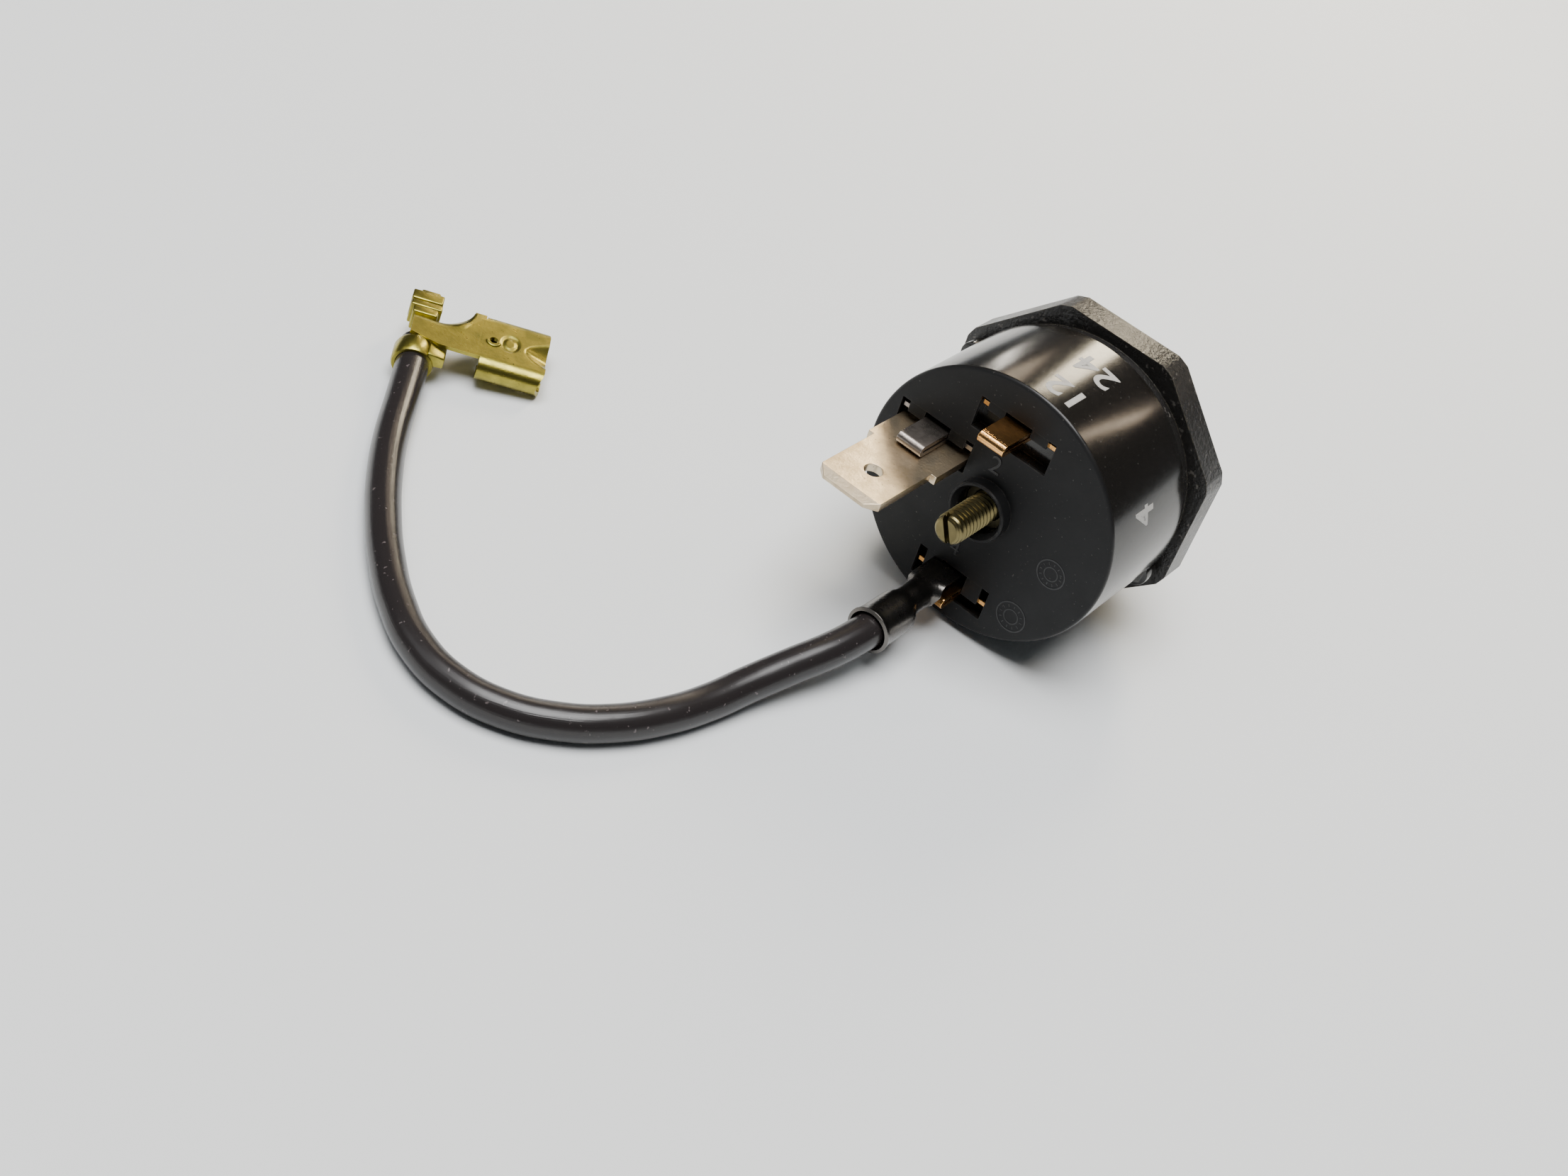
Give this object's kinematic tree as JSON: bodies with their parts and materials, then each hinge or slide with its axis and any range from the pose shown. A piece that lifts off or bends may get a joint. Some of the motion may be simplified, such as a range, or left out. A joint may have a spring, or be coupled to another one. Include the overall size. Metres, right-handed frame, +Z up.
{
  "type": "pressure switch",
  "caption": "Small adjustable snap-action pressure switch with an octagonal flange, threaded port, blade terminal and a short flying lead ending in a flag receptacle.",
  "frame": {"origin": "on the switch's axis, in the sealing face of the port's washer", "axes": "+Y out of the threaded port, +Z up when the switch lies on a flange flat, terminals facing -Y"},
  "size_m": [0.0702, 0.0712, 0.0262],
  "materials": {
    "black_plastic": "satin",
    "flange_plastic": "semi-gloss",
    "brass": "turned",
    "aged_brass": "dull",
    "bright_brass": "stamped",
    "fibre": "matte",
    "rubber": "matte",
    "aluminium": "turned",
    "pale_plastic": "matte",
    "steel": "drawn",
    "tinned_brass": "satin",
    "nickel": "stamped",
    "copper": "rolled",
    "silver": "polished",
    "dark_tin": "oxidised",
    "lead_pvc": "gloss"
  },
  "bodies": {
    "switch": {"housing": "black_plastic", "flange_plate": "flange_plastic", "rear_cap": "flange_plastic", "port_fitting": "brass", "port_washer": "fibre", "diaphragm": "rubber", "threaded_bush": "brass", "terminal_1_tab": "tinned_brass", "terminal_1_strip": "nickel", "terminal_2_strip": "copper", "terminal_4_strip": "copper", "blade_pin": "steel", "fixed_contact_2": "silver", "fixed_contact_4": "silver", "lead_crimp": "dark_tin", "lead_wire": "lead_pvc", "lead_strands": "copper", "flag_receptacle": "bright_brass"},
    "seat": {"spring_seat": "brass", "range_spring": "steel"},
    "screw": {"adjusting_screw": "aged_brass"},
    "piston": {"piston": "aluminium", "push_collar": "pale_plastic"},
    "blade": {"contact_blade": "copper", "moving_contact": "silver"}
  },
  "joints": [
    {"name": "range_slide", "type": "slide", "parent": "switch", "child": "seat", "axis": [0, 1, 0], "range_m": [-0.001, 0.0015], "deforming": ["range_spring"]},
    {"name": "screw_turn", "type": "hinge", "parent": "seat", "child": "screw", "pos_m": [0, -0.0256, 0], "axis": [0, 1, 0], "range_deg": [-725, 1085]},
    {"name": "piston_slide", "type": "slide", "parent": "switch", "child": "piston", "axis": [0, -1, 0], "range_m": [0, 0.0005], "stiffness_N_per_m": 2000, "deforming": ["range_spring"]},
    {"name": "blade_swing", "type": "hinge", "parent": "switch", "child": "blade", "pos_m": [-0.007, -0.014, 0], "axis": [0, 0, -1], "range_deg": [0, 4.1]}
  ],
  "couplings": [
    {"joint": "screw_turn", "follows": "range_slide", "rad_per_m": 12566},
    {"joint": "blade_swing", "follows": "piston_slide", "rad_per_m": 142.86}
  ]
}
